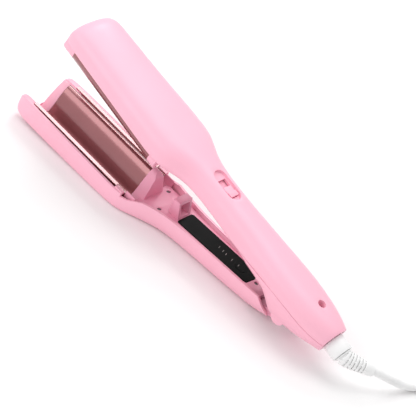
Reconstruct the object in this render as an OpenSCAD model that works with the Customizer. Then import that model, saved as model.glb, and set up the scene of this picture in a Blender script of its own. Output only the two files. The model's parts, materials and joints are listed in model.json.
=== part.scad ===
// Hair waver: two long jaws with nesting wave plates, hinged near the cord end.
// Millimetres, +Z up. The lower arm lies on the ground, and the main body is drawn in its closed
// place and then swung open about the hinge pin. X runs from the jaw tips to the cord.

/* [Hinge] */
// Distance from the origin back to the hinge pin
hinge_x = 110; // [106:1:114]
// Height of the hinge pin above the ground
hinge_z = 17; // [16:0.5:18]
// Angle of the main body at rest, with the jaws open
open_angle = 14; // [8:0.5:18]
// Diameter of the hinge pin
pin_d = 5; // [4:0.5:6]
// Radial clearance of the arm's knuckle on the pin
pin_clearance = 0.05; // [0.02:0.01:0.1]

/* [Jaws] */
// Length of the wave plates
plate_len = 94; // [84:1:104]
// Place of the rear edge of the wave plates
plate_rear_x = -39; // [-42:1:-36]
// Upward slope of the lower jaw towards its tip
lower_jaw_tilt = 3; // [2:0.5:4]
// Upward slope of the upper jaw's plate towards its tip
upper_jaw_tilt = 0.5; // [0:0.5:1]
// Half width of the lower jaw at its rear
jaw_half_w = 30.2; // [29:0.1:31]
// Height of the lower jaw's rim above its underside
rim_h = 13.3; // [12.5:0.1:15]
// Thickness of the wave-shaped end walls
end_wall = 8; // [6:0.5:10]

/* [Wave plates] */
// Distance from a crest to the next valley
half_pitch = 16; // [15:0.25:17]
// Height of the crest above the mean line
wave_amp = 12.5; // [10:0.5:13]
// Height of the wave's mean line above the rim
wave_mean = 3.5; // [3:0.5:4]
// Width of the steep outer flank of a valley
flank_w = 6.4; // [5.8:0.1:7]
// Room between the flanks of the nested plates
flank_gap = 0.9; // [0.7:0.1:1.2]
// Thickness of the plate metal
plate_t = 1.2; // [1:0.1:1.4]
// Gap between the nested plates at the tip when closed
plate_gap = 1.2; // [1:0.1:1.6]
// Width of the flange that lies on the side wall
flange_w = 3.1; // [2.6:0.1:3.2]

/* [Shells] */
// Wall thickness of the pink shells
wall = 2.2; // [1.8:0.1:2.6]
// Height of the parting face of the main handle
part_z = 22.5; // [22:0.1:23]
// Height of the parting line at the cord end
rear_part_z = 31; // [30:0.5:32]
// Groove left between the top shell and the rear cover
groove = 0.4; // [0.3:0.1:0.6]
// Height of the lower handle's side walls
tray_h = 17.5; // [16.5:0.5:18.5]
// Depth of the inner cover below the side walls
cover_drop = 3; // [2:0.5:3.5]
// Radius of the round cord end
end_r = 11.8; // [11:0.2:12.5]

/* [Lock] */
// Place of the middle of the lock's oval recess
lock_x = 13; // [10:1:16]
// Length of the oval recess
recess_len = 27; // [24:1:30]
// Width of the oval recess
recess_w = 12; // [11:0.5:13]
// Depth of the oval recess
recess_depth = 2.4; // [2:0.1:2.8]
// Travel of the slider
lock_travel = 5; // [4:0.5:5.5]
// Height of the lock loop above the inner cover
loop_h = 13; // [12.5:0.1:13.5]
// Radius of the screw hole near the cord
screw_hole_r = 3.3; // [2.8:0.1:3.8]

/* [Panel] */
// Front end of the control panel
panel_front_x = 3; // [1:1:6]
// Length of the control panel
panel_len = 71; // [66:1:74]
// Width of the control panel
panel_w = 18; // [16:0.5:20]
// Length of the oval power button
button_len = 9; // [7:0.5:10]
// Width of the oval power button
button_w = 6; // [5:0.5:7]

/* [Cord] */
// Diameter of the power cord
cord_d = 6.3; // [5.5:0.1:7]
// Radius of the swivel collar
collar_r = 8.2; // [7.6:0.1:8.6]
// Length of the collar outside the handle
collar_len = 12; // [8:0.5:14]
// Radius of the middle turn of the coil
coil_r = 31.5; // [31:0.5:34]
// Turns side by side and on each other in the coil
coil_rows = 3; // [3]

/* [Hidden] */
$fn = 48;

pink = "#FFC4DC";
shade_pink = "#E9A3BF";
rose_metal = "#9B5A62";
steel = "#B8BCC2";
gloss_black = "#1C1C1B";
cord_white = "#F0F0F0";
mica = "#CDB98F";
board_green = "#2E6B45";

plate_front_x = plate_rear_x - plate_len;
bend_x = plate_rear_x - 1;
nose_x = plate_front_x - end_wall;
lip_z = 20.8;
crest_z = wave_mean + wave_amp;
valley_z = wave_mean - wave_amp;
lower_half = half_pitch + flank_w;
upper_half = lower_half - flank_gap;
rim_front = rim_h + (bend_x - plate_front_x) * tan(lower_jaw_tilt);
lip_front = lip_z + (bend_x - plate_front_x) * tan(upper_jaw_tilt);
upper_drop = lip_front - rim_front - plate_gap;
cover_z = tray_h - cover_drop;
pin_half = 14.6;
knuckle_r = 6.5;
knuckle_half = 9;
skirt_slot_half = 11.1;
spring_side = 4.4;
spring_r = 4;
cover_slope = 5.6;
panel_fit = 0.25;
rim_lean = 0.055;
wall_rise = 0.1;
upper_flank = flank_w - flank_gap;
arm_board_half = 10.8;
button_fit = 0.2;
loop_x = lock_x - 21;
loop_w = 15;
loop_t = 2.4;
bolt_w = 6;
screw_r = 1.4;
screw_x = 122;
screw_seat_z = rear_part_z + 4;
board_z = 30;
neck_r = 6.6;
wire_red = "#C8443C";
ARM_SCREWS = [[-25.5, 15], [-25.5, -15], [-14, 9.5], [-14, -9.5], [panel_front_x + panel_len + 3.4, 0]];
MAIN_SCREWS = [-22, 34];
lock_z = 41.5;
pad_z = lock_z - recess_depth;
button_x = panel_front_x + panel_len - 13;
end_x = 146;
end_z = 32;
collar_gap = 0.3;
thread_gap = 0.1;
centre_x = (nose_x - 11 + hinge_x + (end_x + collar_gap + collar_len - hinge_x) * cos(open_angle)
    + (end_z + collar_r - hinge_z) * sin(open_angle)) / 2;

// Lower arm's outside: [x, half width, underside, top, squareness]
ARM_STATIONS = [
    [nose_x - 11, 25.2, 6.5, rim_h - 4.6, 5],
    [nose_x - 10, 27, 4, rim_h - 2, 6],
    [nose_x - 7, 28.2, 2.6, rim_h - 0.3, 9],
    [nose_x - 1, 29, 2.2, rim_h, 11],
    [nose_x + 10, 29.6, 1.6, rim_h, 12],
    [-105, 29.9, 0.8, rim_h, 12],
    [-80, jaw_half_w, 0.2, rim_h, 12],
    [bend_x - 8, jaw_half_w + 0.4, 0, rim_h, 12],
    [bend_x + 4, jaw_half_w - 1, 0, rim_h + 0.6, 10],
    [-27, 26.2, 0, rim_h + 2.4, 7],
    [-17, 22.6, 0, tray_h - 0.6, 5],
    [-5, 19.2, 0, tray_h, 3.6],
    [12, 16.8, 0, tray_h, 3.2],
    [45, 15.2, 0, tray_h, 3],
    [72, 14.8, 0.2, tray_h, 2.6],
    [88, 14.4, 0.9, tray_h, 2.4],
    [102, 14, 4.8, tray_h, 2.4]];

// Main body's outside: [x, half width, lip, top, squareness, tuck of the lip]
MAIN_STATIONS = [
    [nose_x - 5.2, 16.4, lip_front + 1.2, 32, 2.4, 0.4],
    [nose_x - 4.4, 19.8, lip_front + 0.5, 34, 2.4, 0.4],
    [nose_x - 2.2, 22.4, lip_front, 36.6, 2.3, 0.3],
    [nose_x + 2, 24.1, lip_front, 38.4, 2.3, 0.3],
    [nose_x + 8, 24.8, lip_front, 39.2, 2.3, 0.3],
    [-115, 25.3, lip_z + 0.8, 39.8, 2.35, 0.3],
    [-85, 26.2, lip_z + 1.1, 40.6, 2.4, 0.4],
    [-55, 27.6, lip_z + 1.5, 41.8, 2.5, 0.6],
    [-35, 27.8, lip_z + 1.8, 42.4, 2.5, 0.8],
    [-25, 25.6, part_z, 42.4, 2.5, 1.6],
    [-15, 20.8, part_z, 42, 2.5, 2.6],
    [-5, 17.4, part_z, lock_z, 2.5, 3.6],
    [10, 15.8, part_z, lock_z, 2.5, 4.2],
    [30, 15.8, part_z, 42.2, 2.5, 4.4],
    [47, 16.6, part_z + 0.4, 43, 2.5, 4.6],
    [62, 17.2, 24.4, 43.6, 2.5, 3.6],
    [84, 18, 28.6, 44.2, 2.5, 1],
    [105, 18.4, rear_part_z, 44.8, 2.4, 0],
    [125, 17.2, rear_part_z, 45, 2.3, 0],
    [138, 14.6, rear_part_z + 0.4, end_z + end_r + 1, 2.1, 0],
    [end_x, end_r, end_z, end_z + end_r, 2, 0]];

// Rear cover's outside: [x, half width, underside, parting line, squareness]
SKIRT_STATIONS = [
    [55, 12.7, 21.6, 23.4, 2.6],
    [62, 13.6, 20.6, 24.4, 2.6],
    [84, 17, 18.5, 28.6, 2.6],
    [90, 17.6, 15.8, 29.6, 2.6],
    [98, 18.2, 10, 30.6, 2.6],
    [105, 18.4, 7.6, rear_part_z, 2.5],
    [125, 17.2, 13.4, rear_part_z, 2.4],
    [138, 14.6, 18, rear_part_z + 0.4, 2.1],
    [end_x, end_r, end_z - end_r, end_z, 2]];

// Points of the strain relief, its radii, and the cord from the strain relief to the coil
RELIEF_ROUTE = [[150.5, 0, 22.37], [160.7, 0, 19.83], [161.2, 0, 19.7], [163, 0.1, 19.26],
    [166, 1.4, 18.7], [170, 3.8, 18.3], [174, 6.5, 17.8], [178, 9.7, 17.1], [181.5, 13, 16.3]];
RELIEF_RADII = [5.1, 5.1, 7.1, 6.9, 6.5, 6, 5.4, 4.9, 4.4];
CORD_ROUTE = [[181.5, 13, 16.3], [185, 16.6, 15.1], [188.5, 20.6, 13.4], [192, 25, 11.2], [195.2, 30, 8.7],
    [198.2, 35, 6.4], [201, 40, 4.8], [203.6, 45, 3.8], [206, 50, 3.4], [208.3, 55, 3.2],
    [210.5, 60, 3.15], [211.4, 62, 3.15]];
TAIL_ROUTE = [[243.1, 87.7, 20.2], [252.5, 92.5, 21.9], [264.2, 94.1, 22.1], [275.9, 91.9, 22],
    [285.3, 87.6, 20.9], [293.3, 81, 18.2], [296, 72, 15.6], [297, 63, 13.2], [296.5, 54, 11.2],
    [294.7, 45, 9.9], [292, 36, 9], [289.7, 27, 8.6], [288.7, 21, 8.5], [288.5, 17, 8.5]];
coil_centre = [252.5, 62, 0];
plug_at = [288.5, 18, 8.5];

function superpower(c, e) = sign(c) * pow(abs(c), 2 / e);

// A half-round section from the near side to the far side, bulging to zb from the level zt
function half_curve(w, zt, zb, e, n) = [for (i = [0:n])
    let (a = 180 + 180 * i / n)
    [w * superpower(cos(a), e), zt - (zt - zb) * superpower(-sin(a), e)]];

// The same section with its underside cut flat
function flattened(section, floor) = [for (p = section) [p[0], max(p[1], floor)]];
function tray_section(w, zt, zb, t, e) =
    let (cut = 0.5, inner = min(t, 0.75 * (zt - zb)))
    leaned(concat(flattened(half_curve(w, zt, zb - cut, e, 24), zb),
        flattened(reversed(half_curve(w - t, zt, zb + inner - cut, e, 12)), zb + inner)), zt, zb);

// The side walls lean in towards the rim
function leaned(section, zt, zb) = [for (p = section) [p[0] * (1 - rim_lean * (p[1] - zb) / (zt - zb)), p[1]]];

function reversed(list) = [for (i = [len(list) - 1:-1:0]) list[i]];

// An open shell's section: the outer curve, and back along the inner curve
function shell_section(w, zt, zb, t, e, n) =
    let (floor = min(t, 0.75 * abs(zt - zb)) * sign(zt - zb))
    concat(half_curve(w, zt, zb, e, n), reversed(half_curve(w - t, zt, zb + floor, e, n / 2)));

// The main body's section: its sides tuck in below their widest level
function hull_curve(w, zt, zb, e, n, tuck) =
    let (zm = zt + 0.25 * (zb - zt),
        low = [for (k = [0:3]) [w - tuck * pow(1 - k / 4, 2), zt + (zm - zt) * k / 4]])
    concat([for (p = low) [-p[0], p[1]]], half_curve(w, zm, zb, e, n), reversed(low));
function hull_section(w, zt, zb, t, e, n, tuck) =
    let (roof = min(t, 0.75 * (zb - zt)))
    concat(hull_curve(w, zt, zb, e, n, tuck), reversed(hull_curve(w - t, zt, zb - roof, e, n, tuck)));

function spline(a, b, c, d, t) = 0.5 * (2 * b + (c - a) * t + (2 * a - 5 * b + 4 * c - d) * t * t
    + (3 * b - a - 3 * c + d) * t * t * t);

// Rows of a station table, with one more row between each pair
function finer(rows) = [for (i = [0:len(rows) - 1], k = [0, 0.5])
    if (k == 0 || i < len(rows) - 1)
        spline(rows[max(i - 1, 0)], rows[i], rows[min(i + 1, len(rows) - 1)],
            rows[min(i + 2, len(rows) - 1)], k)];

function at_x(section, x) = [for (p = section) [x, p[0], p[1]]];

// A solid through rings of equal length, closed by its first and last ring
module loft(rings) {
    n = len(rings[0]);
    m = len(rings);
    sides = [for (j = [0:m - 2], i = [0:n - 1])
        [j * n + i, (j + 1) * n + i, (j + 1) * n + (i + 1) % n, j * n + (i + 1) % n]];
    front = [[for (i = [0:n - 1]) i]];
    back = [[for (i = [n - 1:-1:0]) (m - 1) * n + i]];
    polyhedron(points = [for (r = rings) each r], faces = concat(sides, front, back), convexity = 6);
}

// A round tube along a route, with a radius for each point
module sweep(route, radii, sides) {
    last = len(route) - 1;
    function heading(i) = let (v = route[min(i + 1, last)] - route[max(i - 1, 0)]) v / norm(v);
    rings = [for (i = [0:last])
        let (t = heading(i), side = cross([0, 0, 1], t) / norm(cross([0, 0, 1], t)), up = cross(t, side))
        [for (k = [0:sides - 1]) route[i] + radii[i] * (cos(360 * k / sides) * side
            + sin(360 * k / sides) * up)]];
    loft(rings);
}

// The wave's crest and valleys are rounder than a cosine's
function wave(y) = let (c = cos(180 * y / half_pitch)) wave_mean + wave_amp * c * (1.2 - 0.2 * c * c);
function wave_slope(y) = let (c = cos(180 * y / half_pitch))
    -wave_amp * PI / half_pitch * sin(180 * y / half_pitch) * (1.2 - 0.6 * c * c);
function wave_normal(y) = [-wave_slope(y), 1] / norm([wave_slope(y), 1]);

// Points on the wave between two places, moved out along its normal by t
function wave_between(a, b, t, n) = [for (i = [0:n])
    let (y = a + (b - a) * i / n) [y, wave(y)] + t * wave_normal(y)];

// Steep outer flank of a valley, of width q, moved down and out by t
function flank(q, t) = [for (i = [1:8]) let (a = 90 * i / 8)
    [half_pitch + (q + t) * sin(a), (valley_z - t) * cos(a)]];

// The whole wave from one flank to the other, moved down and out by t
function profile(q, t) = concat(reversed([for (p = flank(q, t)) [-p[0], p[1]]]),
    wave_between(-half_pitch, half_pitch, -t, 32), flank(q, t));
function moved(points, by) = [for (p = points) p + by];

// Outline of a jaw's tip in plan, just inside the shell's own outline
function tip_outline(rows, inset, x_end) = let (front = [for (r = rows) if (r[0] < x_end) [r[0], r[1] - inset]])
    concat([for (p = front) [p[0], -p[1]]], [[x_end, -front[len(front) - 1][1]],
        [x_end, front[len(front) - 1][1]]], reversed(front));

module along_x(x0, x1) {
    translate([x0, 0, 0]) rotate([90, 0, 90]) linear_extrude(x1 - x0) children();
}

module across_y(half) {
    rotate([90, 0, 0]) linear_extrude(2 * half, center = true) children();
}

module stadium(len, w) {
    for (s = [-1, 1]) translate([s * (len - w) / 2, 0]) circle(d = w);
    square([len - w, w], center = true);
}

// Everything on the lower jaw is drawn level and tilted about the bend of the arm
module on_lower_jaw() {
    translate([bend_x, 0, 0]) rotate([0, lower_jaw_tilt, 0]) translate([-bend_x, 0, rim_h]) children();
}

module on_upper_jaw() {
    translate([bend_x, 0, lip_z]) rotate([0, upper_jaw_tilt, 0]) translate([-bend_x, 0, 0]) children();
}

// Puts the origin under the middle of the whole object
module placed() {
    translate([-centre_x, 0, 0]) children();
}

// The main body is drawn closed and swung open about the hinge pin
module on_main() {
    translate([hinge_x, 0, hinge_z]) rotate([0, open_angle, 0]) translate([-hinge_x, 0, -hinge_z]) children();
}

function jaw_lift(x) = max(bend_x - x, 0) * tan(lower_jaw_tilt);

// ---- lower arm ----

module lower_arm_shell() color(pink) {
    rows = finer(ARM_STATIONS);
    difference() {
        union() {
            difference() {
                loft([for (r = rows) at_x(tray_section(r[1], r[3] + jaw_lift(r[0]), r[2],
                    r[0] < nose_x + 1 ? r[3] + jaw_lift(r[0]) - r[2] : wall, r[4]), r[0])]);
                nose_gap();
            }
            lower_end_wall(rows);
            for (s = [-1, 1]) on_lower_jaw() translate([plate_rear_x - 8, s * 25.3 - 1.6, -1.6])
                cube([7.6, 3.2, 2.5]);
            for (p = ARM_SCREWS) translate([p[0], p[1], 1]) cylinder(r = 2.6, h = cover_top(p[0]) - 3.7);
        }
        across_y(40) polygon([[87, tray_h + 1], [101.3, 7.2], [101.3, -2], [130, -2], [130, tray_h + 1]]);
        across_y(40) polygon([[plate_rear_x + 0.4, 40], [plate_rear_x + 0.4, rim_h - 2.2], [-33, rim_h - 1.6],
            [-23, tray_h - 1.6], [-20, tray_h + 2], [-20, 40]]);
        for (p = ARM_SCREWS) translate([p[0], p[1], 3]) cylinder(r = screw_r + thread_gap, h = 20);
        across_y(10.4) polygon([[84, 2.4], [84, 9], [120, 9], [120, -1], [100, -1], [94, 3.4]]);
        on_lower_jaw() flanges(0.1);
    }
}

// The side walls run on past the end wall, and leave room between them for the other jaw's nose
module nose_gap() {
    on_lower_jaw() {
        across_y(lower_half) polygon([[nose_x - 14, -20], [nose_x - 3.4, -20], [nose_x + 0.4, 0],
            [nose_x + 2.4, crest_z + 6], [nose_x - 14, crest_z + 6]]);
        along_x(nose_x - 4, plate_front_x) polygon(concat(moved(profile(flank_w, 0), [0, 0.05]),
            [[lower_half, crest_z + 6], [-lower_half, crest_z + 6]]));
    }
}

// Wave-topped wall that closes the tip of the lower jaw
module lower_end_wall(rows) {
    intersection() {
        on_lower_jaw() along_x(nose_x - 2, plate_front_x) end_wall_section();
        translate([0, 0, 5]) linear_extrude(60) polygon(tip_outline(rows, 1.8, plate_front_x + 6));
        on_lower_jaw() across_y(40) polygon([[nose_x + 0.4, -12], [nose_x + 0.6, 0],
            [nose_x + 2.4, crest_z + 1], [0, crest_z + 1], [0, -12]]);
    }
}

// Section of the end wall, standing wall_rise above the plate
module end_wall_section() {
    polygon(concat(moved(profile(flank_w, 0), [0, wall_rise]), [[lower_half, -0.25], [lower_half + 3.8, -0.25],
        [lower_half + 3, -12], [-lower_half - 3, -12], [-lower_half - 3.8, -0.25], [-lower_half, -0.25]]));
}

module lower_wave_plate() color(rose_metal) on_lower_jaw() {
    along_x(plate_front_x + 0.2, plate_rear_x)
        polygon(concat(profile(flank_w, 0), reversed(profile(flank_w, plate_t))));
    flanges(0);
}

// Flanges that lie on the side walls, or their seats with a clearance
module flanges(fit) {
    for (s = [-1, 1]) translate([plate_front_x - 6.5 - fit, s * (lower_half + flange_w / 2 - 0.3)
        - flange_w / 2 - fit, -0.2 - fit]) cube([plate_len - 2 + 2 * fit, flange_w + 2 * fit, 0.9 + 30 * fit]);
}

module lower_heater() color(steel) on_lower_jaw() {
    base = valley_z + 2.6;
    along_x(plate_front_x + 8, plate_rear_x - 8)
        polygon([[-8, base], [8, base], [7, wave_mean - 3], [3.2, crest_z - 7], [0, crest_z - 5],
            [-3.2, crest_z - 7], [-7, wave_mean - 3]]);
}

module lower_insulation() color(mica) on_lower_jaw() {
    translate([plate_front_x + 10, -7.5, valley_z + 0.9]) cube([plate_len - 20, 15, 1.4]);
}

module thermistor() color(gloss_black) on_lower_jaw() {
    translate([plate_rear_x - 7.5, 0, wave_mean]) rotate([0, 90, 0]) cylinder(r = 1.6, h = 6);
}

// Height of the lower inner cover, which slopes down to the bulkhead
function cover_top(x) = cover_z - max(0, min(1, (-4 - x) / 28)) * cover_slope;

// Cover of the lower handle, with the wave-topped bulkhead that ends the plate
module lower_inner_cover() color(shade_pink) {
    x0 = plate_rear_x + 7;
    difference() {
        union() {
            intersection() {
                across_y(30) polygon([[x0, cover_top(x0)], [-4, cover_z], [88, cover_z], [88, cover_z - 2],
                    [-4, cover_z - 2], [x0, cover_top(x0) - 2]]);
                linear_extrude(40) cover_outline();
            }
            bulkhead();
            for (x = [10, 64], s = [-1, 1]) translate([x, s * (arm_board_half - 0.6), cover_z - 4.4])
                cylinder(r = 0.8, h = 3);
        }
        translate([0, 0, cover_z - 3]) linear_extrude(5) panel_outline(panel_fit);
        for (p = ARM_SCREWS) translate([p[0], p[1], cover_top(p[0]) - 6]) cylinder(r = 1.75, h = 12);
    }
}

module cover_outline() {
    polygon([[-33, -22], [-27, -21], [-17, -18.4], [-5, -15.4], [12, -13.2], [45, -11.8],
        [72, -11.3], [88, -10.7], [88, 10.7], [72, 11.3], [45, 11.8], [12, 13.2], [-5, 15.4], [-17, 18.4],
        [-27, 21], [-33, 22]]);
}

module bulkhead() {
    x0 = plate_rear_x + 0.3;
    intersection() {
        on_lower_jaw() along_x(x0, x0 + 20) polygon(concat(moved(profile(flank_w, 0), [0, 2]),
            [[lower_half + 0.6, 2], [lower_half + 0.6, -3], [lower_half - 2.4, -7.6], [14, -12], [-14, -12],
            [2.4 - lower_half, -7.6], [-lower_half - 0.6, -3], [-lower_half - 0.6, 2]]));
        across_y(24) polygon([[x0 - 3, 2.7], [x0 - 3, rim_h + crest_z + 4], [x0 + 4.4, rim_h + crest_z + 4],
            [x0 + 9, rim_h + crest_z - 3], [x0 + 10.5, cover_top(x0 + 10) - 1], [x0 + 10.5, 2.7]]);
    }
}

// The panel is square at the front and cut off on a slant at its rear far corner
module panel_outline(grow) {
    h = panel_w / 2 + grow;
    x0 = panel_front_x - grow;
    x1 = panel_front_x + panel_len + grow;
    r = 1.6;
    polygon([[x0, r - h], [x0 + 0.5 * r, 0.5 * r - h], [x0 + r, -h], [x1 - r - 2, 0.6 - h], [x1 - 1, 1.8 - h],
        [x1, 2], [x1 - 0.8, 3.4], [x1 - 15, h - 1], [x1 - 17, h], [x0 + r, h], [x0 + 0.5 * r, h - 0.5 * r],
        [x0, h - r]]);
}

module panel_lens() color(gloss_black) {
    difference() {
        translate([0, 0, cover_z - 2.6]) linear_extrude(3) panel_outline(0);
        translate([button_x, 0, cover_z - 4]) linear_extrude(6)
            stadium(button_len + 2 * button_fit, button_w + 2 * button_fit);
    }
}

module power_button() color(gloss_black) {
    translate([button_x, 0, cover_z - 3.4]) linear_extrude(4) stadium(button_len, button_w);
}

module control_board() color(board_green) {
    translate([panel_front_x + 2, -arm_board_half, cover_z - 6]) cube([panel_len - 6, 2 * arm_board_half, 1.6]);
    translate([button_x, 0, cover_z - 4.4]) cylinder(r = 2.2, h = 0.3);
}

// Loop with its mouth towards the cord, for the bolt of the lock
module lock_loop() color(shade_pink) {
    difference() {
        translate([0, 0, cover_z]) across_y(loop_w / 2) polygon([[loop_x, 0], [panel_front_x - 0.6, 0],
            [loop_x + 6, loop_h], [loop_x, loop_h]]);
        translate([loop_x + loop_t, loop_t - loop_w / 2, cover_z + 1.2])
            cube([20, loop_w - 2 * loop_t, loop_h - 1.2 - loop_t]);
    }
}

module arm_cover_screws() color(steel) {
    for (p = ARM_SCREWS) translate([p[0], p[1], cover_top(p[0])]) {
        translate([0, 0, -2.1]) cylinder(r = 1.6, h = 1.2);
        translate([0, 0, -6]) cylinder(r = screw_r, h = 4);
    }
}

module arm_wires() color(wire_red) {
    for (s = [-1, 1]) translate([-22, 2.2 * s, cover_z - 11]) rotate([0, 90, 0]) cylinder(r = 0.9, h = 24);
}

// Barrel that carries the arm on the hinge pin
module hinge_knuckle() color(gloss_black) {
    difference() {
        union() {
            translate([hinge_x, spring_side, hinge_z]) rotate([90, 0, 0])
                cylinder(r = knuckle_r, h = knuckle_half + spring_side);
            translate([0, (spring_side - knuckle_half) / 2, 0]) across_y((knuckle_half + spring_side) / 2)
                polygon([[88, 3.3], [93.5, 4.2], [hinge_x, hinge_z - knuckle_r],
                    [hinge_x, hinge_z + knuckle_r - 3], [96, 11.8], [88, 11.8]]);
        }
        translate([hinge_x, 0, hinge_z]) rotate([90, 0, 0])
            cylinder(r = pin_d / 2 + pin_clearance, h = 40, center = true);
    }
}

// ---- main body ----

module main_top_shell() color(pink) {
    rows = finer(MAIN_STATIONS);
    difference() {
        union() {
            loft([for (r = rows) at_x(reversed(hull_section(r[1], r[2], r[3], r[0] < nose_x + 1 ?
                r[3] - r[2] - 0.6 : wall, r[4], 20, r[5])), r[0])]);
            translate([lock_x - 18, -9, pad_z - 2]) cube([36, 18, 2.4]);
            translate([screw_x, 0, screw_seat_z - 1.6]) cylinder(r = 5.2, h = 9.4);
        }
        nose_pocket();
        translate([lock_x, 0, pad_z]) linear_extrude(8) stadium(recess_len, recess_w);
        translate([lock_x - 6, -4.6, pad_z - 5]) cube([lock_travel + 11, 9.2, 10]);
        translate([screw_x, 0, screw_seat_z]) cylinder(r = screw_hole_r, h = 14);
        translate([screw_x, 0, rear_part_z]) cylinder(r = screw_r + thread_gap, h = 8);
    }
}

// Room in the nose for the crest of the other jaw's end wall
module nose_pocket() {
    half = 8.6;
    on_upper_jaw() along_x(nose_x - 0.2, plate_front_x + 1) polygon(concat(
        moved(wave_between(-half, half, 0, 24), [0, 0.6 - upper_drop]), [[half, -3], [-half, -3]]));
}

module main_inner_cover() color(shade_pink) {
    difference() {
        union() {
            translate([0, 0, part_z - 1.7]) linear_extrude(1.6) main_cover_outline();
            for (p = MAIN_SCREWS) translate([p, 0, part_z - 1]) cylinder(r = 3, h = 5);
            for (s = [-1, 1]) translate([46, 7.6 * s, part_z - 1]) cylinder(r = 2, h = board_z - part_z + 1);
        }
        translate([loop_x - 4, -loop_w / 2 - 0.8, part_z - 4]) cube([21.5, loop_w + 1.6, 8]);
        for (p = MAIN_SCREWS) translate([p, 0, part_z - 4]) cylinder(r = screw_r, h = 12);
    }
}

module main_cover_outline() {
    polygon([[-31, -22], [-25, -20.4], [-15, -15.6], [-5, -12], [4, -10.4], [10, -9.9], [40, -9.9], [52, -10.2],
        [52, 10.2], [40, 9.9], [10, 9.9], [4, 10.4], [-5, 12], [-15, 15.6], [-25, 20.4], [-31, 22], [-31, 11],
        [-26, 9.5], [-26, -9.5], [-31, -11]]);
}

module rear_cover() color(pink) {
    rows = finer(SKIRT_STATIONS);
    difference() {
        union() {
            loft([for (r = rows) at_x(shell_section(r[1], r[3] - groove, r[2], wall, r[4], 24), r[0])]);
            for (s = [-1, 1]) translate([hinge_x, s * 13.2, hinge_z]) rotate([90, 0, 0])
                cylinder(r = 6, h = 4, center = true);
            translate([screw_x, 0, 14]) cylinder(r = 3.4, h = screw_seat_z - 16);
            for (s = [-1, 1]) translate([78, 8 * s, 19]) cylinder(r = 2, h = board_z - 19);
        }
        translate([80, -skirt_slot_half, 2]) cube([37.5, 2 * skirt_slot_half, 23]);
        translate([hinge_x, 0, hinge_z]) rotate([90, 0, 0]) cylinder(r = pin_d / 2, h = 2 * pin_half, center = true);
        translate([screw_x, 0, 22]) cylinder(r = screw_r + thread_gap, h = 20);
    }
}

module upper_wave_plate() color(rose_metal) on_upper_jaw() {
    along_x(plate_front_x + 0.2, plate_rear_x) translate([0, -upper_drop]) union() {
        polygon(concat(reversed(profile(upper_flank, 0)), profile(upper_flank, -plate_t)));
        for (s = [-1, 1]) scale([s, 1]) polygon([[upper_half, -0.1], [upper_half, 3.6 + upper_drop],
            [upper_half - plate_t, 3.6 + upper_drop], [upper_half - plate_t, -0.1]]);
    }
}

// Carrier of the upper plate: a wave-edged wall at each end, joined by two rails above the plate
module upper_jaw_frame() color(pink) on_upper_jaw() {
    rows = finer(MAIN_STATIONS);
    intersection() {
        along_x(nose_x - 5, plate_front_x) upper_wall_section(wall_rise, 0, -0.25);
        translate([0, 0, -20]) linear_extrude(60) polygon(tip_outline(rows, 0.5, plate_front_x + 2));
        across_y(40) polygon([[nose_x - 4.2, 1], [nose_x - 2.6, -14], [0, -14], [0, 1]]);
    }
    along_x(plate_front_x - 2.6, plate_front_x) upper_wall_top(18.4);
    along_x(plate_rear_x + 0.2, plate_rear_x + 7.4) upper_wall_section(0.5, 0.6, 3);
    along_x(plate_rear_x + 0.2, plate_rear_x + 7.4) upper_wall_top(21.6);
    for (s = [-1, 1]) translate([plate_front_x - 2, s * 18.4 - 1, 2.6]) cube([plate_len + 4, 2, 3]);
}

// Hanging part of an upper wall, down to drop below the plate and up to the level top
module upper_wall_section(drop, out, top) {
    difference() {
        polygon(concat(moved(profile(upper_flank + out, 0), [0, -upper_drop - drop]),
            [[upper_half + out, top], [-upper_half - out, top]]));
        translate([-upper_half - 1 - out, top]) square([2 * upper_half + 4, 30]);
        if (top > 0) translate([-9, 0]) square([18, 30]);
    }
}

// Part of an upper wall inside the shell, arched over the other jaw's crest
module upper_wall_top(half) {
    for (s = [-1, 1]) scale([s, 1]) polygon(concat(moved(wave_between(0, 9, 0, 16), [0, 0.2 - upper_drop]),
        [[half, -1.2], [half, 3], [half - 3, 7], [8, 11.4], [5, 13.4], [2.5, 14.9], [0, 15.1]]));
}

module upper_heaters() color(steel) on_upper_jaw() {
    room = plate_t + 0.25;
    for (s = [-1, 1]) along_x(plate_front_x + 8, plate_rear_x - 8) translate([0, -upper_drop]) scale([s, 1])
        polygon(concat(wave_between(half_pitch - 5, half_pitch, room, 8),
            [for (p = flank(upper_flank, -room)) if (p[0] < half_pitch + 3.4) p],
            [[half_pitch + 3.4, upper_drop - 1], [half_pitch - 4, upper_drop - 1]]));
}

module upper_insulation() color(mica) on_upper_jaw() {
    for (s = [-1, 1]) translate([plate_front_x + 10, s * half_pitch - 2.5, -0.9]) cube([plate_len - 20, 5, 1.2]);
}

module thermal_fuse() color(steel) on_upper_jaw() {
    translate([-90, half_pitch - 1.5, 2]) rotate([0, 90, 0]) cylinder(r = 1.6, h = 12, center = true);
}

module power_board() color(board_green) {
    translate([40, -11, board_z]) cube([44, 22, 1.6]);
    for (x = [50, 61]) translate([x, 0, board_z + 1.6]) cylinder(r = 4, h = 5.4);
}

module main_wires() color(wire_red) {
    for (s = [-1, 1]) translate([-26, 11 * s, 26]) rotate([0, 90, 0]) cylinder(r = 1, h = 64);
}

module hinge_pin() color(steel) {
    translate([hinge_x, 0, hinge_z]) rotate([90, 0, 0]) cylinder(d = pin_d, h = 2 * pin_half, center = true);
}

module hinge_bushes() color(cord_white) {
    for (s = [-1, 1]) translate([hinge_x, s * 10.2, hinge_z]) rotate([90, 0, 0]) difference() {
        cylinder(r = 4.4, h = 1.6, center = true);
        cylinder(r = pin_d / 2, h = 3, center = true);
    }
}

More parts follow.
